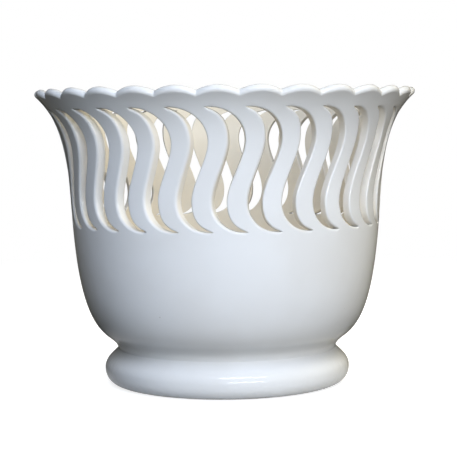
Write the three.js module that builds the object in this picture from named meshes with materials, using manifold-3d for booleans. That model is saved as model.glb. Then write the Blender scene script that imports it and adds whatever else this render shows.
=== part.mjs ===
// Openwork planter: a round flared pot on a rolled foot, with S-shaped slots all round its upper wall
// and a scalloped rim. Millimetres, +Z up. The origin is the centre of the circle it stands on.
// The pot is fired as one body. Its pieces are the members a potter lutes together, and they meet
// face to face on level seams: foot ring, bowl, slats and rim.
import * as THREE from "three";
import { mergeVertices } from "three/addons/utils/BufferGeometryUtils.js";
import Module from "manifold-3d";

const wasm = await Module();
wasm.setup();

// Pattern
const SLOT_COUNT = 30; // slots, and as many slats and scallops

// Foot ring
const FOOT_HEIGHT = 31; // from the table to the seam under the bowl
const NECK_RADIUS = 94.6; // outer radius at that seam, the narrowest place
const ROLL_RADIUS = 106; // widest place of the rolled foot
const ROLL_HEIGHT = 14; // height of that widest place
const REST_RADIUS = 91; // outer radius of the flat ring that stands on the table
const REST_WIDTH = 10.6; // width of that ring
const FOOT_WALL = 10.6; // thickness of the foot at the seam

// Handles of the foot's curves
const REST_OUT = 10.5; // at the flat ring, level and outwards
const ROLL_DOWN = 7.7; // at the widest place, for the lower curve
const ROLL_UP = 8.5; // and for the upper
const NECK_FLARE_OUT = 2.8; // at the neck, outwards
const NECK_FLARE_DOWN = 4.2; // and downwards
const HOLLOW_LOW_OUT = 5; // inside, at the flat ring, outwards
const HOLLOW_LOW_UP = 9; // and upwards
const HOLLOW_HIGH_OUT = 10; // inside, at the seam, outwards
const HOLLOW_HIGH_DOWN = 9; // and downwards

// Wall
const WALL = 7.2; // thickness of the pot wall
const LIP_THICKNESS = 6.8; // the wall thins to this at the lip
const FLOOR_THICKNESS = 8;
const FLOOR_FILLET = 15; // height of the hollow corner between floor and wall
const FLOOR_REACH = 14; // how far that corner runs in over the floor
const BILGE_OUT = 9.3; // from the neck out to where its hollow turns into the bowl
const BILGE_RISE = 11.5; // and up to there
const WAIST_RADIUS = 133.5; // outer radius where the bowl ends and the flare begins
const WAIST_HEIGHT = 156;
const FLARE_RADIUS = 162.4; // outer radius where the lip begins, at a scallop's crest
const FLARE_HEIGHT = 248; // height of that place

// Handles of the wall's three curves
const NECK_UP = 4; // at the neck, upright
const NECK_TURN = 0.28; // at the bilge below, as a share of the handle above
const BELLY_OUT = 18.4; // at the bilge above, outwards
const BELLY_UP = 13.5; // and upwards
const WAIST_LEAN = 0.058; // slope of both curves at the waist
const WAIST_BELOW = 66; // at the waist, for the bowl
const WAIST_ABOVE = 45; // and for the flare
const FLARE_IN = 20.5; // at the lip, inwards
const FLARE_DOWN = 18.5; // and downwards

// Slots, measured on the unrolled outer surface
const BAND = 11.3; // plain band between the slots' upper tips and the lip
const SLOT_HEIGHT = 97.9; // from the lower tip to the upper
const HIGH_BEND_DROP = 25.7; // from the upper tip down to the upper bend, to the right
const LOW_BEND_RISE = 23.7; // from the lower tip up to the lower bend, to the left
const HIGH_WIDTH = 13.8; // slot width at the upper bend
const LOW_WIDTH = 11.8; // and at the lower bend
const SWAY = 6.9; // how far each bend swings from the slot's upright middle line
const HIGH_TIP_REACH = 18.4; // how far the upper tip lies from that line, to the left
const LOW_TIP_REACH = 16.2; // and the lower tip, to the right
const KNIFE_SLANT = 2.4; // how much the knife narrows the slot towards the inside, on its left

// Handles of a slot's edges: at a tip, along it as a share of the way to the bend, and past its level
const OUTSIDE_ALONG = 0.6; // for the edge on the outside of the bend
const OUTSIDE_PAST = 1.2;
const INSIDE_ALONG = 0.6; // for the edge on the inside
const INSIDE_PAST = -2.7;
const OUTSIDE_HOLD = 0.58; // at a bend, towards the tip, as a share of the height to it
const INSIDE_HOLD = 0.62;
const MIDDLE_HOLD = 0.3; // at a bend, towards the other bend

// Seams and scallops
const BOWL_STUB = 9.2; // height of the slots' lower ends that lie in the bowl
const RIM_STUB = 8.7; // and of their upper ends that lie in the rim
const SCALLOP_DEPTH = 3.7; // height between a scallop's crest and the notch beside it
const SCALLOP_LEAD = 3.2; // degrees from a slot's middle line to the next notch

// Fineness of the faces
const WALL_FACETS = 2 * SLOT_COUNT;
const FACETS_PER_SCALLOP = 5;
const CURVE_STEPS = 5;
const HOLLOW_STEPS = 6;
const BOWL_ROWS = 13;
const SLAT_ROWS = 11;
const RIM_ROWS = 5;
const LIP_STEPS = 4;

const PITCH = (2 * Math.PI) / SLOT_COUNT;
const CLEAR = 2; // how far the slot knife passes through the wall on each side
const SLOT_TOP = FLARE_HEIGHT - BAND;
const SLOT_BOTTOM = SLOT_TOP - SLOT_HEIGHT;
const HIGH_BEND = SLOT_TOP - HIGH_BEND_DROP;
const LOW_BEND = SLOT_BOTTOM + LOW_BEND_RISE;
const LOWER_SEAM = SLOT_BOTTOM + BOWL_STUB; // level where the slats stand on the bowl
const UPPER_SEAM = SLOT_TOP - RIM_STUB; // level where the slats carry the rim

// Outer profile, as radius and height, from the neck up to the lip

const neckPoint = new THREE.Vector2(NECK_RADIUS, FOOT_HEIGHT);
const bilgePoint = new THREE.Vector2(NECK_RADIUS + BILGE_OUT, FOOT_HEIGHT + BILGE_RISE);
const waistPoint = new THREE.Vector2(WAIST_RADIUS, WAIST_HEIGHT);
const flarePoint = new THREE.Vector2(FLARE_RADIUS, FLARE_HEIGHT);
const belly = new THREE.Vector2(BELLY_OUT, BELLY_UP);

const outerProfile = new THREE.CurvePath();
outerProfile.add(
  new THREE.CubicBezierCurve(
    neckPoint,
    new THREE.Vector2(NECK_RADIUS, FOOT_HEIGHT + NECK_UP),
    bilgePoint.clone().addScaledVector(belly, -NECK_TURN),
    bilgePoint,
  ),
);
outerProfile.add(
  new THREE.CubicBezierCurve(
    bilgePoint,
    bilgePoint.clone().add(belly),
    new THREE.Vector2(WAIST_RADIUS - WAIST_LEAN * WAIST_BELOW, WAIST_HEIGHT - WAIST_BELOW),
    waistPoint,
  ),
);
outerProfile.add(
  new THREE.CubicBezierCurve(
    waistPoint,
    new THREE.Vector2(WAIST_RADIUS + WAIST_LEAN * WAIST_ABOVE, WAIST_HEIGHT + WAIST_ABOVE),
    new THREE.Vector2(FLARE_RADIUS - FLARE_IN, FLARE_HEIGHT - FLARE_DOWN),
    flarePoint,
  ),
);

// Value of t in [0, 1] at which a rising function reaches a target.
function solve(rising, target) {
  let low = 0;
  let high = 1;
  for (let i = 0; i < 40; i++) {
    const middle = (low + high) / 2;
    if (rising(middle) < target) low = middle;
    else high = middle;
  }
  return (low + high) / 2;
}

// The curve of a path at a share of its run, with an equal share for each curve, and the place on it.
function onPath(path, share) {
  const run = path.curves.length * share;
  const index = Math.min(path.curves.length - 1, Math.floor(run));
  return [path.curves[index], run - index];
}

function pointOn(path, share) {
  const [curve, t] = onPath(path, share);
  return curve.getPoint(t);
}

// Outer point and outward normal at a share of the profile.
function wallFrame(share) {
  const [curve, t] = onPath(outerProfile, share);
  const tangent = curve.getTangent(t);
  return { point: curve.getPoint(t), normal: new THREE.Vector2(tangent.y, -tangent.x) };
}

const outerAt = (share) => wallFrame(share).point;

// The wall keeps its thickness up to the waist, and thins evenly from there to the lip.
function thicknessAt(height) {
  const up = THREE.MathUtils.clamp((height - WAIST_HEIGHT) / (FLARE_HEIGHT - WAIST_HEIGHT), 0, 1);
  return THREE.MathUtils.lerp(WALL, LIP_THICKNESS, up);
}

function innerAt(share) {
  const { point, normal } = wallFrame(share);
  return point.clone().addScaledVector(normal, -thicknessAt(point.y));
}

const outerShare = (height) => solve((s) => outerAt(s).y, height);
const innerShare = (height) => solve((s) => innerAt(s).y, height);
const outerRadius = (height) => outerAt(outerShare(height)).x;
const innerRadius = (height) => innerAt(innerShare(height)).x;

// Evenly spaced values from the first to the last, both included.
function spaced(first, last, count) {
  return Array.from({ length: count }, (_, i) => THREE.MathUtils.lerp(first, last, i / (count - 1)));
}

// Slot outline, as arc length to the right of the slot's middle line, and height

const upperTip = new THREE.Vector2(-HIGH_TIP_REACH, SLOT_TOP);
const lowerTip = new THREE.Vector2(LOW_TIP_REACH, SLOT_BOTTOM);

const outsideOfBend = { along: OUTSIDE_ALONG, past: OUTSIDE_PAST, hold: OUTSIDE_HOLD };
const insideOfBend = { along: INSIDE_ALONG, past: INSIDE_PAST, hold: INSIDE_HOLD };

// Curve from a bend to a tip. Up is 1 for the upper tip and -1 for the lower.
function tipCurve(bend, tip, up, shape) {
  return new THREE.CubicBezierCurve(
    bend,
    new THREE.Vector2(bend.x, THREE.MathUtils.lerp(bend.y, tip.y, shape.hold)),
    new THREE.Vector2(THREE.MathUtils.lerp(tip.x, bend.x, shape.along), tip.y + up * shape.past),
    tip,
  );
}

// One long edge of the slot, from the lower tip to the upper. Side is 1 on the right and -1 on the left.
// The right edge runs outside the upper bend and inside the lower one, and the left edge the reverse.
function slotEdge(side) {
  const high = new THREE.Vector2(SWAY + (side * HIGH_WIDTH) / 2, HIGH_BEND);
  const low = new THREE.Vector2(-SWAY + (side * LOW_WIDTH) / 2, LOW_BEND);
  const hold = MIDDLE_HOLD * (high.y - low.y);
  const lower = tipCurve(low, lowerTip, -1, side > 0 ? insideOfBend : outsideOfBend);
  const upper = tipCurve(high, upperTip, 1, side > 0 ? outsideOfBend : insideOfBend);
  const edge = new THREE.CurvePath();
  edge.add(new THREE.CubicBezierCurve(lower.v3, lower.v2, lower.v1, lower.v0));
  edge.add(
    new THREE.CubicBezierCurve(
      low,
      new THREE.Vector2(low.x, low.y + hold),
      new THREE.Vector2(high.x, high.y - hold),
      high,
    ),
  );
  edge.add(upper);
  return edge;
}

const rightEdge = slotEdge(1);
const leftEdge = slotEdge(-1);

// Angles of a place on the right edge or, at the same share of its run, on the left: the knife goes
// straight in on the right, and leans over on the left. In is 0 on the outer surface and 1 on the inner.
function rightAngle(share) {
  const point = pointOn(rightEdge, share);
  return point.x / outerRadius(point.y);
}

function leftAngle(share, inwards) {
  const point = pointOn(leftEdge, share);
  const slant = KNIFE_SLANT * Math.sin(Math.PI * share);
  return (point.x + slant * inwards) / outerRadius(point.y);
}

// Share of an edge's run at which it reaches a height.
const shareAt = (edge, height) => solve((s) => pointOn(edge, s).y, height);

// Mesh helpers

function meshGeometry(positions, triangles) {
  const geometry = new THREE.BufferGeometry();
  geometry.setAttribute("position", new THREE.Float32BufferAttribute(positions, 3));
  geometry.setIndex(triangles);
  geometry.computeVertexNormals();
  return geometry;
}

// Angle 0 faces the front, -Y, and angles grow to the right.
function onWall(radius, angle, height) {
  return [radius * Math.sin(angle), -radius * Math.cos(angle), height];
}

// Closed solid from rings of points, each joined to the next, with the last joined to the first or
// both end rings capped. Each ring runs counterclockwise seen from the ring after it.
function loft(rings, closed) {
  const size = rings[0].length;
  const triangles = [];
  const spans = closed ? rings.length : rings.length - 1;
  for (let i = 0; i < spans; i++) {
    const near = i * size;
    const far = ((i + 1) % rings.length) * size;
    for (let j = 0; j < size; j++) {
      const k = (j + 1) % size;
      triangles.push(near + j, near + k, far + k, near + j, far + k, far + j);
    }
  }
  if (!closed) {
    const last = (rings.length - 1) * size;
    for (let j = 1; j < size - 1; j++) {
      triangles.push(0, j + 1, j);
      triangles.push(last, last + j, last + j + 1);
    }
  }
  return meshGeometry(rings.flat(2), triangles);
}

function toSolid(geometry) {
  const bare = geometry.clone();
  bare.deleteAttribute("normal");
  bare.deleteAttribute("uv");
  const merged = mergeVertices(bare, 1e-4);
  const mesh = new wasm.Mesh({
    numProp: 3,
    vertProperties: new Float32Array(merged.attributes.position.array),
    triVerts: new Uint32Array(merged.index.array),
  });
  return new wasm.Manifold(mesh);
}

function toGeometry(solid) {
  const mesh = solid.getMesh();
  return meshGeometry(Array.from(mesh.vertProperties), Array.from(mesh.triVerts));
}

// Solid of revolution about Z. The outline of radius and height ends where it starts, or on the axis.
function turned(outline, facets) {
  const geometry = new THREE.LatheGeometry(outline, facets);
  geometry.rotateX(Math.PI / 2);
  return geometry;
}

// Pieces

// Rolled foot ring: its inner face swells outwards too, but less than the roll.
function footRing() {
  const roll = new THREE.Path();
  roll.moveTo(REST_RADIUS, 0);
  roll.bezierCurveTo(
    REST_RADIUS + REST_OUT,
    0,
    ROLL_RADIUS,
    ROLL_HEIGHT - ROLL_DOWN,
    ROLL_RADIUS,
    ROLL_HEIGHT,
  );
  roll.bezierCurveTo(
    ROLL_RADIUS,
    ROLL_HEIGHT + ROLL_UP,
    NECK_RADIUS + NECK_FLARE_OUT,
    FOOT_HEIGHT - NECK_FLARE_DOWN,
    NECK_RADIUS,
    FOOT_HEIGHT,
  );
  const restInside = new THREE.Vector2(REST_RADIUS - REST_WIDTH, 0);
  const neckInside = new THREE.Vector2(NECK_RADIUS - FOOT_WALL, FOOT_HEIGHT);
  const hollow = new THREE.CubicBezierCurve(
    neckInside,
    new THREE.Vector2(neckInside.x + HOLLOW_HIGH_OUT, FOOT_HEIGHT - HOLLOW_HIGH_DOWN),
    new THREE.Vector2(restInside.x + HOLLOW_LOW_OUT, HOLLOW_LOW_UP),
    restInside,
  );
  const outer = roll.getPoints(CURVE_STEPS);
  const inner = hollow.getPoints(HOLLOW_STEPS);
  return turned([...outer, ...inner, outer[0]], WALL_FACETS);
}

// The slot knife: the whole slot's outline, a little further out than the wall and a little further in.
function slotKnife() {
  const shares = spaced(0, 1, 3 * CURVE_STEPS + 1);
  const outline = [
    ...shares.map((share) => ({ edge: rightEdge, share })),
    ...shares.slice(1, -1).reverse().map((share) => ({ edge: leftEdge, share })),
  ];
  const points = outline.map(({ edge, share }) => pointOn(edge, share));
  const faceAt = (radiusAt) =>
    outline.map(({ edge, share }, i) => {
      const height = points[i].y;
      const outer = outerRadius(height);
      const radius = radiusAt(height);
      const inwards = (outer - radius) / (outer - innerRadius(height));
      const angle = edge === rightEdge ? rightAngle(share) : leftAngle(share, inwards);
      return onWall(radius, angle, height);
    });
  const outside = faceAt((height) => outerRadius(height) + CLEAR);
  const inside = faceAt((height) => innerRadius(height) - CLEAR);
  const triangles = [];
  const count = outline.length;
  for (const [a, b, c] of THREE.ShapeUtils.triangulateShape(points, [])) {
    triangles.push(a, b, c);
    triangles.push(count + a, count + c, count + b);
  }
  for (let j = 0; j < count; j++) {
    const k = (j + 1) % count;
    triangles.push(j, count + k, k, j, count + j, count + k);
  }
  return toSolid(meshGeometry([...outside, ...inside].flat(), triangles));
}

// Takes a slot out of a solid at every pitch.
function cutSlots(solid) {
  const knife = slotKnife();
  let cut = solid;
  for (let i = 0; i < SLOT_COUNT; i++) {
    cut = cut.subtract(knife.rotate([0, 0, THREE.MathUtils.radToDeg(i * PITCH)]));
  }
  return cut;
}

// Bowl: floor and solid lower wall, with the lower ends of the slots cut in its top edge.
function bowl() {
  const floor = FOOT_HEIGHT + FLOOR_THICKNESS;
  const filletTop = floor + FLOOR_FILLET;
  const outer = spaced(0, outerShare(LOWER_SEAM), BOWL_ROWS).map(outerAt);
  const inner = spaced(innerShare(LOWER_SEAM), innerShare(filletTop), CURVE_STEPS + 1).map(innerAt);
  const fillet = new THREE.QuadraticBezierCurve(
    inner.at(-1),
    new THREE.Vector2(innerRadius(floor), floor),
    new THREE.Vector2(innerRadius(floor) - FLOOR_REACH, floor),
  );
  const outline = [
    new THREE.Vector2(0, FOOT_HEIGHT),
    ...outer,
    ...inner,
    ...fillet.getPoints(CURVE_STEPS).slice(1),
    new THREE.Vector2(0, floor),
  ];
  return toGeometry(cutSlots(toSolid(turned(outline, WALL_FACETS))));
}

// Slat between two slots, from seam to seam: its left side is the right edge of one slot, and its
// right side the left edge of the next.
function slat() {
  const rings = spaced(LOWER_SEAM, UPPER_SEAM, SLAT_ROWS).map((height) => {
    const outer = outerRadius(height);
    const inner = innerRadius(height);
    const left = rightAngle(shareAt(rightEdge, height));
    const share = shareAt(leftEdge, height);
    const right = PITCH + leftAngle(share, 0);
    const rightInside = PITCH + leftAngle(share, 1);
    return [
      onWall(outer, left, height),
      onWall(outer, (left + right) / 2, height),
      onWall(outer, right, height),
      onWall(inner, rightInside, height),
      onWall(inner, (left + rightInside) / 2, height),
      onWall(inner, left, height),
    ];
  });
  return loft(rings, false);
}

// Rim: the flare above the slats, with a rounded lip that rises and falls in scallops.
function rim() {
  const rings = Array.from({ length: SLOT_COUNT * FACETS_PER_SCALLOP }, (_, i) => {
    const turn = i / FACETS_PER_SCALLOP;
    const fromCrest = 2 * (turn % 1) - 1;
    const drop = SCALLOP_DEPTH * fromCrest * fromCrest;
    const angle = turn * PITCH + THREE.MathUtils.degToRad(SCALLOP_LEAD);
    return rimSection(FLARE_HEIGHT - drop).map((point) => onWall(point.x, angle, point.y));
  });
  return toGeometry(cutSlots(toSolid(loft(rings, true))));
}

// Section of the rim whose lip begins at a height, as radius and height: up the inner face, over the
// lip and down the outer face.
function rimSection(lipHeight) {
  const top = outerShare(lipHeight);
  const { point, normal } = wallFrame(top);
  const round = thicknessAt(point.y) / 2;
  const centre = point.clone().addScaledVector(normal, -round);
  const reach = normal.clone().multiplyScalar(round);
  const lip = spaced(Math.PI, 0, LIP_STEPS + 1)
    .slice(1, -1)
    .map((turn) => centre.clone().add(reach).rotateAround(centre, turn));
  const inner = spaced(innerShare(UPPER_SEAM), top, RIM_ROWS).map(innerAt);
  const outer = spaced(top, outerShare(UPPER_SEAM), RIM_ROWS).map(outerAt);
  return [...inner, ...lip, ...outer];
}

// Materials

const glaze = new THREE.MeshStandardMaterial({ color: 0xe9e9e4, roughness: 0.12, metalness: 0 });
const footGlaze = glaze.clone();
const slatGlaze = glaze.clone();
const rimGlaze = glaze.clone();

// Assembly

function named(name, geometry, material) {
  const mesh = new THREE.Mesh(geometry, material);
  mesh.name = name;
  return mesh;
}

const planter = new THREE.Group();
planter.add(named("foot_ring", footRing(), footGlaze));
planter.add(named("bowl", bowl(), glaze));
const slatShape = slat();
for (let i = 0; i < SLOT_COUNT; i++) {
  const mesh = named(`slat_${String(i + 1).padStart(2, "0")}`, slatShape, slatGlaze);
  mesh.rotation.z = i * PITCH;
  planter.add(mesh);
}
planter.add(named("rim", rim(), rimGlaze));

export default planter;
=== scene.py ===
"""Openwork planter in ivory glaze: fine pieces, glaze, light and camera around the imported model."""

import math

import bmesh
import bpy
import numpy as np
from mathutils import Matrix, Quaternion, Vector
from mathutils.geometry import delaunay_2d_cdt


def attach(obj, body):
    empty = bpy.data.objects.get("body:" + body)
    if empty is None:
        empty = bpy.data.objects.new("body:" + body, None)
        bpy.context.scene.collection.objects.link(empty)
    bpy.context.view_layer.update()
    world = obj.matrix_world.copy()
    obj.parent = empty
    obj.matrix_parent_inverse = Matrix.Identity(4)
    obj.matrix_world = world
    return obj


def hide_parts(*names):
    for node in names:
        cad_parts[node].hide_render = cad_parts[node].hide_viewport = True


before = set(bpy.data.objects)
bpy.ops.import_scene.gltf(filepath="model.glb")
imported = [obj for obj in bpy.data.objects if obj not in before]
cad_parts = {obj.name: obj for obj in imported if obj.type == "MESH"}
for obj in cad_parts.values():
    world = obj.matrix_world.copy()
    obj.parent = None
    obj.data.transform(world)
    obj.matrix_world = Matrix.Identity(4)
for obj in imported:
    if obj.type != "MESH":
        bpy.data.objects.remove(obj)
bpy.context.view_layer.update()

MM = 0.001

# Sizes of the pot in millimetres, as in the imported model
SLOT_COUNT = 30
PITCH = 2 * math.pi / SLOT_COUNT

FOOT_HEIGHT = 31
NECK_RADIUS = 94.6
ROLL_RADIUS = 106
ROLL_HEIGHT = 14
REST_RADIUS = 91
REST_WIDTH = 10.6
FOOT_WALL = 10.6
REST_OUT = 10.5
ROLL_DOWN = 7.7
ROLL_UP = 8.5
NECK_FLARE_OUT = 2.8
NECK_FLARE_DOWN = 4.2
HOLLOW_LOW_OUT = 5
HOLLOW_LOW_UP = 9
HOLLOW_HIGH_OUT = 10
HOLLOW_HIGH_DOWN = 9

WALL = 7.2
LIP_THICKNESS = 6.8
FLOOR = FOOT_HEIGHT + 8
FLOOR_FILLET = 15
FLOOR_REACH = 14
BILGE_OUT = 9.3
BILGE_RISE = 11.5
WAIST_RADIUS = 133.5
WAIST_HEIGHT = 156
FLARE_RADIUS = 162.4
FLARE_HEIGHT = 248
NECK_UP = 4
NECK_TURN = 0.28
BELLY_OUT = 18.4
BELLY_UP = 13.5
WAIST_LEAN = 0.058
WAIST_BELOW = 66
WAIST_ABOVE = 45
FLARE_IN = 20.5
FLARE_DOWN = 18.5

SLOT_TOP = FLARE_HEIGHT - 11.3
SLOT_BOTTOM = SLOT_TOP - 97.9
HIGH_BEND = SLOT_TOP - 25.7
LOW_BEND = SLOT_BOTTOM + 23.7
HIGH_WIDTH = 13.8
LOW_WIDTH = 11.8
SWAY = 6.9
HIGH_TIP_REACH = 18.4
LOW_TIP_REACH = 16.2
KNIFE_SLANT = 2.4
OUTSIDE_OF_BEND = {"along": 0.6, "past": 1.2, "hold": 0.58}
INSIDE_OF_BEND = {"along": 0.6, "past": -2.7, "hold": 0.62}
MIDDLE_HOLD = 0.3
LOWER_SEAM = SLOT_BOTTOM + 9.2
UPPER_SEAM = SLOT_TOP - 8.7
SCALLOP_DEPTH = 3.7
SCALLOP_LEAD = math.radians(3.2)

# Softening by sponge and glaze, in millimetres
CUT_ROUND = 2.0  # slot edge that faces the right, wiped softly
FAR_ROUND = 1.2  # slot edge that faces the left, cut crisply
INSIDE_ROUND = 0.9
TIP_FADE = 4.0  # the rounding dies out over this length before a slot's tip
LEAST_SIDEWAYS = 0.3  # keeps the rounding's width within bounds where an edge runs nearly level
LIP_REACH = 2.8  # how far the lip stands past the place where its edge begins
LIP_ROUND = 2.8
LIP_CROWN = 0.35
LIP_THIN = 0.2  # how thin the glaze lies on the lip's edges, as a share
CUT_SHADE_AND_THIN = 0.8  # share of the thin-glaze tint on the cut sides: thin glaze on their roundings, and painted shade on the cut faces between the slats
CUSP_SOFTNESS = 0.018  # share of a scallop over which its notch is blunted
CUSP_DEPTH = 0.4  # share of the notch's blunted depth that is kept
REST_ROUND = 0.8

# Distances under which points count as one
BORDER_GAP = 1e-6  # in millimetres, along a border
FILL_GAP = 1e-7  # in millimetres, between a border and its fill
INSIDE_ONLY = 1  # makes triangles inside the border alone
NO_RISE = 1e-12  # in millimetres, where a border runs level
CELL_WELD = 1e-6  # in metres, within a cell
SHUT_EDGE = 1e-7  # in metres, for edges that are dissolved
RING_WELD = 2e-6  # in metres, from cell to cell

# Levels between which the wall has slots or their tips
SLOTS_LOW = 131.0
SLOTS_HIGH = 240.6

# Fineness of the meshes
WALL_STEPS = 600
EDGE_STEPS = 400
ROUND_STEPS = 5
SIDE_STEPS = 3
FLAT_STEPS = 9
SLIT_STEPS = 5
TIP_ROWS = 20
LEVEL_ROWS = 3  # rows over which the cut's section turns level beside a seam
TIP_CROWDING = 1.3  # power that draws rows together near a slot's tip
SLAT_ROW = 1.7
GRAIN = 1.9  # spacing of points on the plain wall, in millimetres
GRAIN_GAP = 0.6  # share of that spacing kept free beside a border
THIN_ROW = 0.25  # row beside a seam, so that both pieces shade alike there
PITCH_STEPS = 12
NECK_ROWS = (1.2, 30, 24)  # first and last distance from the seam, and count
BELLY_ROWS = (33, 32)  # first distance from the seam, and count
INNER_ROWS = 26
FILLET_STEPS = 14
FLOOR_RINGS = (0.8, 0.55, 0.28, 0)  # shares of the flat floor's radius
UNDER_RINGS = (0, 0.3, 0.6, 0.85, 0.96, 1)  # shares of the neck's radius
SCALLOP_STEPS = 24
NOTCH_CROWDING = 0.13
FLARE_STEPS = 5
LIP_STEPS = 6
LIP_TOP_STEPS = 5
FLARE_INNER_STEPS = 7
FOOT_STEPS = 22
FOOT_INNER_STEPS = 21
FOOT_CORNER_STEPS = 5


# Curves


def bezier(points, t):
    """Points of a quadratic or cubic curve at the values t."""
    t = np.asarray(t, float)[:, None]
    row = [np.array(p, float) * np.ones_like(t) for p in points]
    while len(row) > 1:
        row = [a + (b - a) * t for a, b in zip(row, row[1:])]
    return row[0]


def chain(curves, steps):
    """One run of points along several curves that follow each other."""
    t = np.linspace(0, 1, steps + 1)
    runs = [bezier(c, t) for c in curves]
    return np.vstack([runs[0]] + [r[1:] for r in runs[1:]])


def table_at(at, marks, table):
    """Both columns of a table at the places asked for, where marks is the place of each row."""
    return np.stack([np.interp(at, marks, table[:, 0]), np.interp(at, marks, table[:, 1])], axis=-1)


def smooth_step(value):
    value = np.clip(value, 0, 1)
    return value * value * (3 - 2 * value)


NECK = (NECK_RADIUS, FOOT_HEIGHT)
BILGE = (NECK_RADIUS + BILGE_OUT, FOOT_HEIGHT + BILGE_RISE)
WAIST = (WAIST_RADIUS, WAIST_HEIGHT)
FLARE = (FLARE_RADIUS, FLARE_HEIGHT)
WALL_CURVES = [
    [NECK, (NECK_RADIUS, FOOT_HEIGHT + NECK_UP),
     (BILGE[0] - NECK_TURN * BELLY_OUT, BILGE[1] - NECK_TURN * BELLY_UP), BILGE],
    [BILGE, (BILGE[0] + BELLY_OUT, BILGE[1] + BELLY_UP),
     (WAIST_RADIUS - WAIST_LEAN * WAIST_BELOW, WAIST_HEIGHT - WAIST_BELOW), WAIST],
    [WAIST, (WAIST_RADIUS + WAIST_LEAN * WAIST_ABOVE, WAIST_HEIGHT + WAIST_ABOVE),
     (FLARE_RADIUS - FLARE_IN, FLARE_HEIGHT - FLARE_DOWN), FLARE],
]
outer_line = chain(WALL_CURVES, WALL_STEPS)
tangents = np.gradient(outer_line, axis=0)
tangents /= np.linalg.norm(tangents, axis=1)[:, None]
normals = np.stack([tangents[:, 1], -tangents[:, 0]], axis=1)
up_the_flare = np.clip((outer_line[:, 1] - WAIST_HEIGHT) / (FLARE_HEIGHT - WAIST_HEIGHT), 0, 1)
thickness = WALL + (LIP_THICKNESS - WALL) * up_the_flare
inner_line = outer_line - normals * thickness[:, None]


def outer_radius(z):
    return np.interp(z, outer_line[:, 1], outer_line[:, 0])


def inner_radius(z):
    return np.interp(z, inner_line[:, 1], inner_line[:, 0])


# Slot edges, as arc length to the right of the slot's middle line, and height


def tip_curve(bend, tip, up, shape):
    """Curve from a bend to a tip."""
    along = shape["along"]
    return [bend, (bend[0], bend[1] + (tip[1] - bend[1]) * shape["hold"]),
            (tip[0] + (bend[0] - tip[0]) * along, tip[1] + up * shape["past"]), tip]


def slot_edge(side):
    """A slot's long edge from the lower tip to the upper: side 1 is the right edge, and -1 the left."""
    high = (SWAY + side * HIGH_WIDTH / 2, HIGH_BEND)
    low = (-SWAY + side * LOW_WIDTH / 2, LOW_BEND)
    hold = MIDDLE_HOLD * (HIGH_BEND - LOW_BEND)
    below, above = (INSIDE_OF_BEND, OUTSIDE_OF_BEND) if side > 0 else (OUTSIDE_OF_BEND, INSIDE_OF_BEND)
    lower = tip_curve(low, (LOW_TIP_REACH, SLOT_BOTTOM), -1, below)
    upper = tip_curve(high, (-HIGH_TIP_REACH, SLOT_TOP), 1, above)
    middle = [low, (low[0], LOW_BEND + hold), (high[0], HIGH_BEND - hold), high]
    return chain([lower[::-1], middle, upper], EDGE_STEPS)


class Edge:
    """One edge of a slot, with its direction and the share of its run at any height."""

    def __init__(self, side):
        self.side = side
        self.line = slot_edge(side)
        self.share = np.linspace(0, 1, len(self.line))
        run = np.gradient(self.line, axis=0)
        run /= np.linalg.norm(run, axis=1)[:, None]
        self.away = np.stack([run[:, 1], -run[:, 0]], axis=1) * side
        steps = np.linalg.norm(np.diff(self.line, axis=0), axis=1)
        length = np.concatenate([[0], np.cumsum(steps)])
        self.from_tip = np.minimum(length, length[-1] - length)
        self.first, self.last = self.line[:, 1].argmin(), self.line[:, 1].argmax()

    def share_at(self, height):
        part = slice(self.first, self.last + 1)
        return np.interp(height, self.line[part, 1], self.share[part])

    def at(self, share):
        """Point, direction away from the slot, distance from the nearer tip and the knife's slant."""
        point = table_at(share, self.share, self.line)
        away = table_at(share, self.share, self.away)
        away /= np.linalg.norm(away, axis=-1, keepdims=True)
        slant = KNIFE_SLANT * np.sin(math.pi * share) if self.side < 0 else np.zeros_like(share)
        return point, away, np.interp(share, self.share, self.from_tip), slant


right_edge = Edge(1)
left_edge = Edge(-1)


def cut_side(edge, shares, level_from_end, turn, round_out):
    """Strip of points round the cut side of a slat: from the outer face over the rounding, the cut and
    the inner rounding to the inner face. One row for each share. Rows are level at the seam end."""
    point, away, from_tip, slant = edge.at(shares)
    sideways = np.sign(away[:, 0]) / np.maximum(np.abs(away[:, 0]), LEAST_SIDEWAYS)
    level = np.stack([sideways, np.zeros(len(shares))], axis=1)
    push = away * (1 - level_from_end[:, None]) + level * level_from_end[:, None]
    fade = np.sin(0.5 * math.pi * np.clip(from_tip / TIP_FADE, 0, 1))
    out, inn = round_out * fade, INSIDE_ROUND * fade
    none = np.zeros(len(shares))
    rows = []

    def add_row(offset, skin, lining, share, thin):
        """Points at a share of the wall's depth that lies between a skin and a lining."""
        place = point + push * offset[:, None]
        outer = outer_radius(place[:, 1])
        wall = outer - inner_radius(place[:, 1])
        depth = skin + (wall - skin - lining) * share
        across = (place[:, 0] + slant * depth / wall) / outer
        # the thin-glaze value is real thin glaze on the roundings and painted shade on the cut face
        rows.append(np.stack([turn + across, outer - depth, place[:, 1], CUT_SHADE_AND_THIN * thin * fade], axis=1))

    angles = np.linspace(math.pi / 2, 0, ROUND_STEPS + 1)
    for a in angles:
        add_row(out * (1 - math.cos(a)), out * (1 - math.sin(a)), none, 0, math.cos(a) ** 3)
    for k in range(1, SIDE_STEPS):
        add_row(none, out, inn, k / SIDE_STEPS, 1)
    for a in angles[::-1]:
        add_row(inn * (1 - math.cos(a)), none, inn * (1 - math.sin(a)), 1, math.cos(a))
    return np.stack(rows, axis=1)


# Cells: one pitch of the pot each, as points of turn, radius, height and thinness of the glaze, which on
# the cut faces stands for painted shade too


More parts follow.
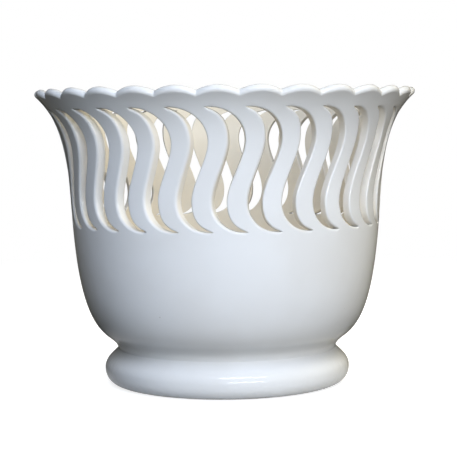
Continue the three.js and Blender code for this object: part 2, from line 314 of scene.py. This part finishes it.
class Cell:
    """A mesh under way, in turn, radius and height, with the glaze's thinness at each point, which on the
    cut faces also carries painted shade.
    """

    def __init__(self):
        self.points = []
        self.faces = []

    def add(self, rows):
        """Adds points whose last axis is turn, radius, height and thinness. Returns their numbers."""
        rows = np.asarray(rows, float)
        first = sum(len(p) for p in self.points)
        self.points.append(rows.reshape(-1, 4))
        return first + np.arange(len(self.points[-1])).reshape(rows.shape[:-1])

    def sheet(self, rows, flip=False, close=False):
        """Quads over a grid of points, or of the numbers of points that are there already."""
        index = rows if rows.dtype.kind == "i" else self.add(rows)
        if close:
            index = np.concatenate([index, index[:, :1]], axis=1)
        for a, b in zip(index, index[1:]):
            for p, q, r, s in zip(a, a[1:], b[1:], b):
                self.faces.append((s, r, q, p) if flip else (p, q, r, s))
        return index

    def cap(self, ring, flip=False):
        """One flat face over a ring of points, given by their numbers."""
        self.faces.append(tuple(ring[::-1]) if flip else tuple(ring))

    def fill(self, border, radius_at, flip=False):
        """Triangles over a plain stretch of wall inside a border of turns and heights."""
        scale = WAIST_RADIUS
        flat = np.stack([border[:, 0] * scale, border[:, 1]], axis=1)
        steps = np.linalg.norm(np.diff(flat, axis=0), axis=1)
        flat = flat[np.concatenate([[True], steps > BORDER_GAP])]
        if np.linalg.norm(flat[0] - flat[-1]) < BORDER_GAP:
            flat = flat[:-1]
        every = [Vector(p) for p in np.vstack([flat, grains(flat)])]
        count = len(flat)
        edges = [(i, (i + 1) % count) for i in range(count)]
        spots, _, triangles, *_ = delaunay_2d_cdt(every, edges, [list(range(count))], INSIDE_ONLY, FILL_GAP)
        places = np.array([tuple(spot) for spot in spots])
        levels = places[:, 1]
        rows = np.stack([places[:, 0] / scale, radius_at(levels), levels, np.zeros(len(levels))], axis=1)
        index = self.add(rows)
        for a, b, c in triangles:
            p, q, r = places[[a, b, c]]
            turn = (q[0] - p[0]) * (r[1] - p[1]) - (q[1] - p[1]) * (r[0] - p[0])
            if (turn > 0) == flip:
                b, c = c, b
            self.faces.append((index[a], index[b], index[c]))

    def finish(self, name):
        """The cell's mesh, in metres, with doubles merged."""
        table = np.vstack(self.points)
        turn, radius, height, thinness = table.T
        places = np.stack([radius * np.sin(turn), -radius * np.cos(turn), height], axis=1)
        mesh = bpy.data.meshes.new(name)
        mesh.from_pydata((places * MM).tolist(), [], [[int(i) for i in f] for f in self.faces])
        layer = mesh.attributes.new("thin_glaze_and_shade", "FLOAT", "POINT")
        layer.data.foreach_set("value", thinness.astype(np.float32))
        work = bmesh.new()
        work.from_mesh(mesh)
        bmesh.ops.remove_doubles(work, verts=work.verts, dist=CELL_WELD)
        bmesh.ops.dissolve_degenerate(work, edges=work.edges, dist=SHUT_EDGE)
        work.to_mesh(mesh)
        work.free()
        return mesh


def grains(border):
    """Evenly spread points inside a border, none close to it."""
    low, high = border.min(0), border.max(0)
    row_step = GRAIN * math.sqrt(3) / 2
    places = []
    for j, z in enumerate(np.arange(low[1], high[1], row_step)):
        for x in np.arange(low[0] + (j % 2) * GRAIN / 2, high[0], GRAIN):
            places.append((x, z))
    places = np.array(places)
    a, b = border, np.roll(border, -1, axis=0)
    crosses = (a[None, :, 1] > places[:, None, 1]) != (b[None, :, 1] > places[:, None, 1])
    rise = np.where(np.abs(b[:, 1] - a[:, 1]) < NO_RISE, NO_RISE, b[:, 1] - a[:, 1])
    at = a[None, :, 0] + (places[:, None, 1] - a[None, :, 1]) * (b - a)[None, :, 0] / rise[None, :]
    inside = (crosses & (places[:, None, 0] < at)).sum(1) % 2 == 1
    along = b - a
    share = np.clip(((places[:, None] - a[None]) * along[None]).sum(2) / (along ** 2).sum(1)[None], 0, 1)
    gap = np.linalg.norm(places[:, None] - (a[None] + share[:, :, None] * along[None]), axis=2).min(1)
    return places[inside & (gap > GRAIN_GAP * GRAIN)]


def ring_rows(left, right):
    """Rows of points round a slat: front face, right cut, back face and left cut."""
    t = np.linspace(0, 1, FLAT_STEPS + 1)[None, 1:-1, None]
    front = left[:, :1] + (right[:, :1] - left[:, :1]) * t
    back = right[:, -1:] + (left[:, -1:] - right[:, -1:]) * t
    return np.concatenate([front, right, back, left[:, ::-1]], axis=1)


def slat_cell():
    """One slat between two seams."""
    count = round((UPPER_SEAM - LOWER_SEAM) / SLAT_ROW)
    middle = np.linspace(LOWER_SEAM + THIN_ROW, UPPER_SEAM - THIN_ROW, count)
    levels = np.concatenate([[LOWER_SEAM], middle, [UPPER_SEAM]])
    flat = np.ones(len(levels))
    left = cut_side(right_edge, right_edge.share_at(levels), flat, 0, FAR_ROUND)
    right = cut_side(left_edge, left_edge.share_at(levels), flat, PITCH, CUT_ROUND)
    cell = Cell()
    index = cell.sheet(ring_rows(left, right), close=True)
    cell.cap(index[0][:-1], flip=True)
    cell.cap(index[-1][:-1])
    return cell.finish("slat_cell")


def stub_shares(edge, seam, tip):
    """Shares from a slot's tip to a seam, closer together at both ends."""
    at_seam = edge.share_at(seam)
    near_seam = edge.share_at(seam + (THIN_ROW if tip == 1 else -THIN_ROW))
    spread = np.linspace(0, 1, TIP_ROWS) ** TIP_CROWDING
    return np.concatenate([tip + (near_seam - tip) * spread, [at_seam]])


def slit(start, end):
    """Points of turn and height on the line where two cells meet, both ends left out."""
    t = np.linspace(0, 1, SLIT_STEPS + 1)[1:-1, None]
    return np.array(start) + (np.array(end) - np.array(start)) * t


def stub(cell, seam, tip, edge_level, columns):
    """The wall from a seam to a plain level, round the slots' tapered ends. Tip is 0 for the lower and 1
    for the upper. Columns are the turns at the plain level."""
    level = smooth_step((np.arange(TIP_ROWS + 1) - (TIP_ROWS - LEVEL_ROWS - 1)) / LEVEL_ROWS)
    left = cut_side(right_edge, stub_shares(right_edge, seam, tip), level, 0, FAR_ROUND)
    right = cut_side(left_edge, stub_shares(left_edge, seam, tip), level, PITCH, CUT_ROUND)
    below = tip == 0
    cell.sheet(left, flip=not below)
    cell.sheet(right, flip=below)
    for side, radius_at, flip in ((0, outer_radius, False), (-1, inner_radius, True)):
        left_run, right_run = left[:, side, [0, 2]], right[:, side, [0, 2]]
        seam_turns = np.linspace(left_run[-1, 0], right_run[-1, 0], FLAT_STEPS + 1)[1:-1]
        seam_line = np.stack([seam_turns, np.full(len(seam_turns), seam)], axis=1)
        base = np.stack([columns, np.full(len(columns), edge_level)], axis=1)
        from_left = slit(base[0], left_run[0])
        from_right = slit(right_run[0], base[-1])
        border = np.vstack([base[::-1], from_left, left_run, seam_line, right_run[::-1], from_right])
        cell.fill(border, radius_at, flip)
    seam_ring = ring_rows(left[-1:], right[-1:])[0]
    cell.cap(cell.add(seam_ring), flip=not below)


def turned_rows(line, columns):
    """Grid of points from a line of radius and height, for a row of turns."""
    line = np.asarray(line, float)
    turns = np.broadcast_to(columns, (len(line), len(columns)))
    radius = np.broadcast_to(line[:, :1], turns.shape)
    height = np.broadcast_to(line[:, 1:], turns.shape)
    return np.stack([turns, radius, height, np.zeros(turns.shape)], axis=2)


def bowl_cell():
    """One pitch of the bowl: floor, solid wall and the slots' lower ends."""
    tip_turn = LOW_TIP_REACH / outer_radius(SLOT_BOTTOM)
    columns = tip_turn + np.linspace(0, PITCH, PITCH_STEPS + 1)
    cell = Cell()
    stub(cell, LOWER_SEAM, 0, SLOTS_LOW, columns)
    split = np.searchsorted(outer_line[:, 1], SLOTS_LOW)
    below = outer_line[:split]
    run = np.concatenate([[0], np.cumsum(np.linalg.norm(np.diff(below, axis=0), axis=1))])
    belly_marks = np.linspace(BELLY_ROWS[0], run[-1], BELLY_ROWS[1])[:-1]
    marks = np.concatenate([[0, THIN_ROW], np.linspace(*NECK_ROWS), belly_marks])
    outer = np.vstack([table_at(marks, run, below), [outer_radius(SLOTS_LOW), SLOTS_LOW]])
    fillet_top = FLOOR + FLOOR_FILLET
    inner_z = np.linspace(SLOTS_LOW, fillet_top, INNER_ROWS)
    inner = np.stack([inner_radius(inner_z), inner_z], axis=1)
    corner = inner_radius(FLOOR)
    fillet = chain([[inner[-1], (corner, FLOOR), (corner - FLOOR_REACH, FLOOR)]], FILLET_STEPS)[1:]
    floor = [(fillet[-1, 0] * share, FLOOR) for share in FLOOR_RINGS]
    under = [(NECK_RADIUS * share, FOOT_HEIGHT) for share in UNDER_RINGS]
    cell.sheet(turned_rows(outer, columns))
    cell.sheet(turned_rows(np.vstack([inner, fillet, floor]), columns))
    cell.sheet(turned_rows(under, columns))
    return cell.finish("bowl_cell")


def scallop_turns():
    """Turns across a scallop from notch to notch, closer together at the notches."""
    t = np.linspace(0, 1, SCALLOP_STEPS + 1)
    eased = t - NOTCH_CROWDING * np.sin(2 * math.pi * t)
    return SCALLOP_LEAD - PITCH + PITCH * eased


def lip_level(turns):
    """Height at which the lip's edge begins, for turns across one scallop."""
    from_crest = (turns - SCALLOP_LEAD) / PITCH + 0.5
    to_notch = 0.5 - np.abs(from_crest)
    blunt = np.sqrt(to_notch ** 2 + CUSP_SOFTNESS ** 2) - CUSP_SOFTNESS * CUSP_DEPTH
    return FLARE_HEIGHT - SCALLOP_DEPTH * (1 - 2 * blunt) ** 2


def lip_section():
    """Lip's edge from the outer face to the inner: reach past the edge, share of the width, thinness."""
    half = []
    for a in np.linspace(0, math.pi / 2, LIP_STEPS + 1):
        reach = LIP_REACH - LIP_ROUND + LIP_ROUND * math.sin(a)
        half.append((reach, LIP_ROUND * (1 - math.cos(a)) / LIP_THICKNESS, math.sin(2 * a) * LIP_THIN))
    end = half[-1][1]
    middle = [(LIP_REACH, share, 0.0) for share in np.linspace(end, 1 - end, LIP_TOP_STEPS + 1)[1:-1]]
    return half + middle + [(reach, 1 - share, thin) for reach, share, thin in half[::-1]]


def rim_cell():
    """One pitch of the rim: a scallop of the lip, the flare below it and the slots' upper ends."""
    columns = scallop_turns()
    cell = Cell()
    stub(cell, UPPER_SEAM, 1, SLOTS_HIGH, columns)
    lip = lip_level(columns)
    lines = (outer_line, inner_line, tangents)
    edge_out, edge_in, along = [table_at(lip, outer_line[:, 1], line) for line in lines]
    across = edge_in - edge_out
    width = np.linalg.norm(across, axis=1, keepdims=True)
    across = across / width
    rows = []
    for share in np.linspace(0, 1, FLARE_STEPS + 1):
        z = SLOTS_HIGH + (lip - SLOTS_HIGH) * share
        rows.append(np.stack([columns, outer_radius(z), z, np.zeros(len(z))], axis=1))
    for reach, share, thin in lip_section():
        crown = -LIP_CROWN * (2 * share - 1) ** 2
        place = edge_out + across * (share * width) + along * (reach + crown)
        rows.append(np.stack([columns, place[:, 0], place[:, 1], np.full(len(lip), thin)], axis=1))
    for share in np.linspace(0, 1, FLARE_INNER_STEPS + 1):
        z = edge_in[:, 1] + (SLOTS_HIGH - edge_in[:, 1]) * share
        rows.append(np.stack([columns, inner_radius(z), z, np.zeros(len(z))], axis=1))
    cell.sheet(np.stack(rows))
    return cell.finish("rim_cell")


def foot_cell():
    """One pitch of the foot ring, closed all round its section."""
    roll = (ROLL_RADIUS, ROLL_HEIGHT)
    outer = chain([
        [(REST_RADIUS, 0), (REST_RADIUS + REST_OUT, 0), (ROLL_RADIUS, ROLL_HEIGHT - ROLL_DOWN), roll],
        [roll, (ROLL_RADIUS, ROLL_HEIGHT + ROLL_UP),
         (NECK_RADIUS + NECK_FLARE_OUT, FOOT_HEIGHT - NECK_FLARE_DOWN), NECK],
    ], FOOT_STEPS)
    last_step = outer[-1] - outer[-2]
    near_seam = outer[-2] + last_step * (1 - THIN_ROW / np.linalg.norm(last_step))
    outer = np.vstack([outer[:-1], near_seam, outer[-1]])
    rest = (REST_RADIUS - REST_WIDTH, 0)
    seat = (NECK_RADIUS - FOOT_WALL, FOOT_HEIGHT)
    inner = chain([[seat, (seat[0] + HOLLOW_HIGH_OUT, FOOT_HEIGHT - HOLLOW_HIGH_DOWN),
                    (rest[0] + HOLLOW_LOW_OUT, HOLLOW_LOW_UP), rest]], FOOT_INNER_STEPS)
    lift = np.searchsorted(-inner[:, 1], -REST_ROUND)
    corner = chain([[inner[lift - 1], rest, (rest[0] + REST_ROUND, 0)]], FOOT_CORNER_STEPS)[1:]
    line = np.vstack([outer, inner[:lift], corner, [(REST_RADIUS * 0.5 + rest[0] * 0.5, 0)]])
    columns = np.linspace(0, PITCH, PITCH_STEPS + 1)
    cell = Cell()
    index = cell.add(turned_rows(line, columns))
    cell.sheet(np.vstack([index, index[:1]]))
    return cell.finish("foot_cell")


# Node trees


class Sock:
    """A node's output, so that sums and products of outputs are written as such."""

    def __init__(self, tree, link):
        self.tree = tree
        self.link = link

    def __add__(self, other):
        return self.tree.math("ADD", self, other)

    def __sub__(self, other):
        return self.tree.math("SUBTRACT", self, other)

    def __rsub__(self, other):
        return self.tree.math("SUBTRACT", other, self)

    def __mul__(self, other):
        return self.tree.math("MULTIPLY", self, other)

    def __truediv__(self, other):
        return self.tree.math("DIVIDE", self, other)

    def __rtruediv__(self, other):
        return self.tree.math("DIVIDE", other, self)

    __radd__ = __add__
    __rmul__ = __mul__

    def between(self, low, high):
        """0 below low, 1 above high, and smooth between."""
        values = {"Value": self, "From Min": low, "From Max": high, "To Min": 0.0, "To Max": 1.0}
        return self.tree.node("ShaderNodeMapRange", values, interpolation_type="SMOOTHSTEP")


class Tree:
    """A node tree, with one way to make a node."""

    def __init__(self, tree):
        self.tree = tree

    def make(self, kind, values=None, **settings):
        """A node of a kind. Its settings are made first, then the values or links of its sockets."""
        node = self.tree.nodes.new(kind)
        for name, value in settings.items():
            setattr(node, name, value)
        for key, value in (values or {}).items():
            socket = node.inputs[key]
            if isinstance(value, Sock):
                self.tree.links.new(value.link, socket)
            else:
                socket.default_value = value
        return node

    def node(self, kind, values=None, out=0, **settings):
        """One output of a node made that way."""
        return Sock(self, self.make(kind, values, **settings).outputs[out])

    def math(self, operation, a, b):
        return self.node("ShaderNodeMath", {0: a, 1: b}, operation=operation)

    def length(self, vector):
        return self.node("ShaderNodeVectorMath", {0: vector}, out="Value", operation="LENGTH")

    def noise(self, place, scale, detail):
        return self.node("ShaderNodeTexNoise", {"Vector": place, "Scale": scale, "Detail": detail})

    def blend(self, share, low, high):
        """A colour between two colours. The sockets' places are given, because their names repeat."""
        return self.node("ShaderNodeMix", {"Factor": share, 6: low, 7: high}, out=2, data_type="RGBA")


def empty_tree(owner):
    """The tree of a new material or world, with nothing in it yet."""
    owner.use_nodes = True
    owner.node_tree.nodes.clear()
    return Tree(owner.node_tree)


# Rings of cells

UNEVENNESS = 0.0006  # metres
WAVE_LENGTH = 0.07  # metres
FULL_UNEVENNESS = 0.02  # level in metres from which the wall has all its unevenness
SHARP_EDGE = math.radians(55)
RING_INPUTS = {
    "Geometry": "Geometry",
    "Count": "Int",
    "Weld distance": "Float",
    "Unevenness": "Float",
    "Wave length": "Float",
    "Level of full unevenness": "Float",
    "Material": "Material",
}


def ring_tree():
    """Geometry nodes that set one cell all round the pot, weld it and give it a hand-made unevenness."""
    group = bpy.data.node_groups.new("ring_of_cells", "GeometryNodeTree")
    for name, kind in RING_INPUTS.items():
        group.interface.new_socket(name, in_out="INPUT", socket_type="NodeSocket" + kind)
    group.interface.new_socket("Geometry", in_out="OUTPUT", socket_type="NodeSocketGeometry")
    tree = Tree(group)
    given = [Sock(tree, s) for s in tree.make("NodeGroupInput").outputs]
    cell, count, weld, uneven, wave, level, material = given[:len(RING_INPUTS)]
    line = tree.node("GeometryNodeMeshLine", {"Count": count, "Offset": (0, 0, 0)}, mode="OFFSET")
    turn = tree.node("GeometryNodeInputIndex") * (2 * math.pi) * (1.0 / count)
    rotation = tree.node("ShaderNodeCombineXYZ", {"Z": turn})
    instances = {"Points": line, "Instance": cell, "Rotation": rotation}
    ring = tree.node("GeometryNodeInstanceOnPoints", instances)
    ring = tree.node("GeometryNodeRealizeInstances", {"Geometry": ring})
    ring = tree.node("GeometryNodeMergeByDistance", {"Geometry": ring, "Distance": weld})
    place = tree.node("GeometryNodeInputPosition")
    height = tree.node("ShaderNodeSeparateXYZ", {"Vector": place}, out="Z")
    waves = {"Vector": place, "Scale": 1.0 / wave, "Detail": 0.5}
    noise = tree.node("ShaderNodeTexNoise", waves, out="Color")
    middle = tree.node("ShaderNodeVectorMath", {0: noise, 1: (0.5, 0.5, 0.5)}, operation="SUBTRACT")
    amount = uneven * tree.math("MINIMUM", height / level, 1.0)
    shift = tree.node("ShaderNodeVectorMath", {0: middle, "Scale": amount}, operation="SCALE")
    ring = tree.node("GeometryNodeSetPosition", {"Geometry": ring, "Offset": shift})
    ring = tree.node("GeometryNodeSetMaterial", {"Geometry": ring, "Material": material})
    tree.make("NodeGroupOutput", {"Geometry": ring})
    return group


def ring_of(cell, name, group, material, nodes):
    """A finished piece: the cell all round the pot as a plain mesh that stands for CAD nodes."""
    cell_object = bpy.data.objects.new(name + "_cell", cell)
    bpy.context.scene.collection.objects.link(cell_object)
    modifier = cell_object.modifiers.new("ring", "NODES")
    modifier.node_group = group
    values = {
        "Count": SLOT_COUNT,
        "Weld distance": RING_WELD,
        "Unevenness": UNEVENNESS,
        "Wave length": WAVE_LENGTH,
        "Level of full unevenness": FULL_UNEVENNESS,
        "Material": material,
    }
    for item in group.interface.items_tree:
        if item.in_out == "INPUT" and item.name in values:
            modifier[item.identifier] = values[item.name]
    bpy.context.view_layer.update()
    seen = cell_object.evaluated_get(bpy.context.evaluated_depsgraph_get())
    mesh = bpy.data.meshes.new_from_object(seen)
    mesh.name = name
    bpy.data.objects.remove(cell_object)
    mesh.shade_smooth()
    mesh.set_sharp_from_angle(angle=SHARP_EDGE)
    piece = bpy.data.objects.new(name, mesh)
    bpy.context.scene.collection.objects.link(piece)
    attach(piece, "root")
    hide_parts(*nodes)


# Glaze

PALE_IVORY = (0.835, 0.825, 0.79, 1)
DULL_IVORY = (0.80, 0.785, 0.745, 1)
# painted shade: the inner wall and the bowl's floor inside turn darker and warmer, as they lie in shade
INNER_SHADE_TAN = (0.75, 0.69, 0.57, 1)
# tan where the glaze lies thin on edges, and painted shade over the cut faces, which lie in shade
THIN_GLAZE_AND_SHADE_TAN = (0.76, 0.715, 0.63, 1)
SPECK_BROWN = (0.42, 0.34, 0.25, 1)
BARE_CLAY = (0.60, 0.50, 0.39, 1)
BLACK = (0.0, 0.0, 0.0, 1)
SPECK_SHARE = 0.5
BELLY_SHADE = 0.12  # share of black painted as shade under the belly
CREASE_SHADE = 0.1  # and as shade in the crease over the foot

# Metres over which the glaze and its painted shade change: levels, and the radius of the flat floor's edge
ABOVE_FLOOR = (0.036, 0.038)
PAST_FLOOR = (0.090, 0.094)
ABOVE_FOOT = (0.020, 0.034)
INTO_BELLY = (0.020, 0.031)
OUT_OF_BELLY = (0.036, 0.065)
INTO_CREASE = (0.034, 0.0385)
OUT_OF_CREASE = (0.0395, 0.046)
WIPED_EDGE = (0.0004, 0.0009)
WIPED_WOBBLE = 0.0009
FACES_IN = (-0.75, -0.1)  # how far a face looks outwards, from 0 to -1 where it looks to the axis

# Relief of the glaze in metres, and how rough it is
RIPPLE_HEIGHT = 0.00022
PEEL_HEIGHT = 0.000006
CLOUD_HEIGHT = 0.0007
RUNS_HEIGHT = 0.0006
RELIEF_STRENGTH = 0.35
GLAZE_ROUGHNESS = 0.07
RIPPLE_ROUGHNESS = 0.04
THIN_ROUGHNESS = 0.06
INNER_ROUGHNESS = 0.28
WIPED_ROUGHNESS = 0.6
GLAZE_IOR = 1.5


def glaze_material():
    """Ivory-white gloss glaze over pale clay: thin on the edges, wiped off the ring it stands on. Its
    colour also holds painted shade: tan on the inner wall, the bowl's floor inside and the cut faces, and
    grey under the belly and in the crease over the foot.
    """
    material = bpy.data.materials.new("ivory_glaze")
    tree = empty_tree(material)
    place = tree.node("ShaderNodeTexCoord", out="Object")
    height = tree.node("ShaderNodeSeparateXYZ", {"Vector": place}, out="Z")
    thin = tree.node("ShaderNodeAttribute", out="Fac", attribute_name="thin_glaze_and_shade")

    flat_place = tree.node("ShaderNodeVectorMath", {0: place, 1: (1, 1, 0)}, operation="MULTIPLY")
    outward = tree.node("ShaderNodeVectorMath", {0: flat_place}, operation="NORMALIZE")
    facing = {0: tree.node("ShaderNodeNewGeometry", out="Normal"), 1: outward}
    faces_out = tree.node("ShaderNodeVectorMath", facing, out="Value", operation="DOT_PRODUCT")
    on_floor = height.between(*ABOVE_FLOOR) * (1.0 - tree.length(flat_place).between(*PAST_FLOOR))
    inside = tree.math("MAXIMUM", 1.0 - faces_out.between(*FACES_IN), on_floor)
    on_foot = 1.0 - height.between(*ABOVE_FOOT)
    # painted shade under the belly and in the crease over the foot
    under_belly = height.between(*INTO_BELLY) * (1.0 - height.between(*OUT_OF_BELLY))
    in_crease = height.between(*INTO_CREASE) * (1.0 - height.between(*OUT_OF_CREASE))
    wobble = (tree.noise(place, scale=60.0, detail=2.0) - 0.5) * WIPED_WOBBLE
    wiped = 1.0 - (height + wobble).between(*WIPED_EDGE)

    cloud = tree.noise(place, scale=14.0, detail=3.0)
    ripple = tree.noise(place, scale=70.0, detail=2.0)
    runs = tree.noise(place, scale=170.0, detail=1.0)
    peel = tree.noise(place, scale=420.0, detail=1.0)
    dots = tree.node("ShaderNodeTexVoronoi", {"Vector": place, "Scale": 160.0}, out="Distance")
    patches = tree.noise(place, scale=95.0, detail=2.0)
    specks = (1.0 - dots.between(0.05, 0.11)) * patches.between(0.66, 0.7)

    ivory = tree.blend(cloud.between(0.35, 0.65), DULL_IVORY, PALE_IVORY)
    # painted shade: faces that look inwards, and the bowl's floor inside, turn tan
    shaded_inside = tree.blend(inside, ivory, INNER_SHADE_TAN)
    # real thin glaze on edges, and painted shade on the cut faces, tint tan
    edged_and_shaded = tree.blend(thin, shaded_inside, THIN_GLAZE_AND_SHADE_TAN)
    specked = tree.blend(specks * SPECK_SHARE, edged_and_shaded, SPECK_BROWN)
    # painted shade: black blended in under the belly and in the crease, except on inward faces
    painted_shade = (under_belly * BELLY_SHADE + in_crease * CREASE_SHADE) * (1.0 - inside)
    belly_and_crease_shaded = tree.blend(painted_shade, specked, BLACK)
    colour = tree.blend(wiped, belly_and_crease_shaded, BARE_CLAY)

    rough = ripple.between(0.3, 0.7) * RIPPLE_ROUGHNESS + GLAZE_ROUGHNESS + thin * THIN_ROUGHNESS
    rough_all = rough + inside * INNER_ROUGHNESS + wiped * WIPED_ROUGHNESS
    relief = ripple * RIPPLE_HEIGHT + peel * PEEL_HEIGHT + cloud * CLOUD_HEIGHT
    relief_all = relief + runs * on_foot * RUNS_HEIGHT
    bump = {"Height": relief_all, "Strength": RELIEF_STRENGTH, "Distance": 1.0}
    shader = tree.node("ShaderNodeBsdfPrincipled", {
        "Base Color": colour,
        "Roughness": rough_all,
        "Normal": tree.node("ShaderNodeBump", bump),
        "IOR": GLAZE_IOR,
    })
    tree.make("ShaderNodeOutputMaterial", {"Surface": shader})
    return material


# Pieces

ring = ring_tree()
glaze = glaze_material()
slat_nodes = [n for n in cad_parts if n.startswith("slat_")]
ring_of(foot_cell(), "foot_ring_glazed", ring, glaze, ["foot_ring"])
ring_of(bowl_cell(), "bowl_glazed", ring, glaze, ["bowl"])
ring_of(slat_cell(), "slats_glazed", ring, glaze, slat_nodes)
ring_of(rim_cell(), "rim_glazed", ring, glaze, ["rim"])


# Stage: metres from the pot's axis over which the floor changes, and its colours

FLOOR_HALF = 3.0
NEAR_WHITE = (0.11, 0.19)  # the floor's white fades out of reflections
MIRRORED_WHITE = 0.35  # share of the floor's white that reflections show there
SHADOW_FIELD = (0.5, 1.2)  # the floor's shadows fade into the backdrop
FOOT_FIELD = (0.107, 0.13)  # the paler floor round the foot fades
FLOOR_COLOUR = (0.06, 0.058, 0.05, 1)
FOOT_FLOOR_COLOUR = (0.3, 0.3, 0.3, 1)
SHADOW_COLOUR = (0.5, 0.5, 0.5, 1)
WHITE = (1, 1, 1, 1)
FLOOR_WHITE = 0.8
ROOM_TONE = (0.015, 0.015, 0.015, 1)


def ray(tree, *names):
    """1 for rays of the kinds named, otherwise 0."""
    path = tree.make("ShaderNodeLightPath")
    shown, *others = [Sock(tree, path.outputs[name]) for name in names]
    for other in others:
        shown = tree.math("MAXIMUM", shown, other)
    return shown


def floor_material():
    """Pale floor that the camera sees as white with the pot's shadow on it. Reflections show that white
    near the pot, and the floor as it is lit further off."""
    material = bpy.data.materials.new("pale_floor")
    tree = empty_tree(material)
    distance = tree.length(tree.node("ShaderNodeTexCoord", out="Object"))
    near = 1.0 - distance.between(*NEAR_WHITE)
    mirrored = ray(tree, "Is Glossy Ray", "Is Transmission Ray") * near * MIRRORED_WHITE
    seen_white = tree.math("MAXIMUM", ray(tree, "Is Camera Ray"), mirrored)
    lit = tree.blend(distance.between(*FOOT_FIELD), FOOT_FLOOR_COLOUR, FLOOR_COLOUR)
    plain = tree.node("ShaderNodeBsdfDiffuse", {"Color": lit})
    shadow = tree.node("ShaderNodeBsdfDiffuse", {"Color": SHADOW_COLOUR})
    glow = tree.node("ShaderNodeEmission", {"Color": WHITE, "Strength": FLOOR_WHITE})
    shaded = tree.node("ShaderNodeAddShader", {0: shadow, 1: glow})
    white = tree.node("ShaderNodeEmission", {"Color": WHITE, "Strength": 1.0})
    shown = tree.node("ShaderNodeMixShader", {0: distance.between(*SHADOW_FIELD), 1: shaded, 2: white})
    both = tree.node("ShaderNodeMixShader", {0: seen_white, 1: plain, 2: shown})
    tree.make("ShaderNodeOutputMaterial", {"Surface": both})
    return material


def plane(name, half, material):
    """Level square at the height of the table, with the pot in its middle."""
    mesh = bpy.data.meshes.new(name)
    corners = [(-half, -half, 0), (half, -half, 0), (half, half, 0), (-half, half, 0)]
    mesh.from_pydata(corners, [], [(0, 1, 2, 3)])
    mesh.materials.append(material)
    thing = bpy.data.objects.new(name, mesh)
    bpy.context.scene.collection.objects.link(thing)


def light_room(tone):
    """World of a dim room. The camera itself sees plain white."""
    world = bpy.data.worlds.new("room")
    bpy.context.scene.world = world
    tree = empty_tree(world)
    lit = tree.node("ShaderNodeBackground", {"Color": tone, "Strength": 1.0})
    white = tree.node("ShaderNodeBackground", {"Color": WHITE, "Strength": 1.0})
    both = tree.node("ShaderNodeMixShader", {0: ray(tree, "Is Camera Ray"), 1: lit, 2: white})
    tree.make("ShaderNodeOutputWorld", {"Surface": both})


POT_MIDDLE = Vector((0, 0, 0.13))


def soft_light(name, azimuth, elevation, distance, size, power, colour, streak=False):
    """Rectangular lamp turned to the pot. Azimuth 0 is in front of the pot and grows to the right, as
    seen from there, and both angles are in degrees. A streak lamp shows in reflections and lights
    nothing, and the others light the pot and don't show in reflections."""
    turn, rise = math.radians(azimuth), math.radians(elevation)
    towards = Vector((math.sin(turn) * math.cos(rise), -math.cos(turn) * math.cos(rise), math.sin(rise)))
    lamp = bpy.data.lights.new(name, "AREA")
    lamp.shape = "RECTANGLE"
    lamp.size, lamp.size_y = size
    lamp.energy = power
    lamp.color = colour
    thing = bpy.data.objects.new(name, lamp)
    thing.location = POT_MIDDLE + towards * distance
    thing.rotation_euler = (-towards).to_track_quat("-Z", "Y").to_euler()
    thing.visible_glossy = streak
    thing.visible_diffuse = not streak
    bpy.context.scene.collection.objects.link(thing)


plane("floor", FLOOR_HALF, floor_material())
light_room(ROOM_TONE)
soft_light("window", 10, 10, 2.2, (1.4, 0.8), 36, (0.736, 0.835, 1.0))
soft_light("ceiling", 0, 45, 1.8, (0.8, 0.8), 17.2, (0.69, 0.79, 1.0))
soft_light("second_window", 40, 10, 2.2, (1.2, 0.6), 9.3, (1.0, 0.84, 0.58))
soft_light("right_wall", 95, 55, 1.8, (0.8, 0.8), 12.5, (1.0, 0.885, 0.55))
soft_light("back_right", 155, 30, 2.0, (1.6, 1.2), 20, (1.0, 0.97, 0.93))
soft_light("back_left", -150, 30, 2.0, (1.6, 1.2), 18, (0.96, 0.98, 1.0))
soft_light("upper_strip", 14, 39, 2.0, (1.3, 0.1), 10, (1.0, 1.0, 1.0), streak=True)
soft_light("lower_strip", 16, 5, 2.2, (1.3, 0.1), 10, (1.0, 1.0, 1.0), streak=True)

# Camera, as fitted to the photo

CAMERA_DISTANCE = 1.2796
CAMERA_HEIGHT = 0.2229
CAMERA_AZIMUTH = math.radians(-0.88)
CAMERA_TILT = 0.0702
CAMERA_ROLL = 0.010
AXIS_OFFSET = 2.7  # pixels that the pot's axis lies left of the picture's middle
PICTURE_WIDTH = 457
FOCAL_PIXELS = 1475
SENSOR = 36.0

camera_data = bpy.data.cameras.new("camera")
camera_data.sensor_width = SENSOR
camera_data.lens = SENSOR * FOCAL_PIXELS / PICTURE_WIDTH
camera = bpy.data.objects.new("camera", camera_data)
bpy.context.scene.collection.objects.link(camera)
bpy.context.scene.camera = camera
camera.location = (
    CAMERA_DISTANCE * math.sin(CAMERA_AZIMUTH),
    -CAMERA_DISTANCE * math.cos(CAMERA_AZIMUTH),
    CAMERA_HEIGHT,
)
yaw = CAMERA_AZIMUTH - AXIS_OFFSET / FOCAL_PIXELS
level_share = math.cos(CAMERA_TILT)
aim = Vector((-math.sin(yaw) * level_share, math.cos(yaw) * level_share, -math.sin(CAMERA_TILT)))
turn = aim.to_track_quat("-Z", "Y")
turn.rotate(Quaternion(aim, CAMERA_ROLL))
camera.rotation_mode = "QUATERNION"
camera.rotation_quaternion = turn

bpy.context.scene.view_settings.view_transform = "Standard"
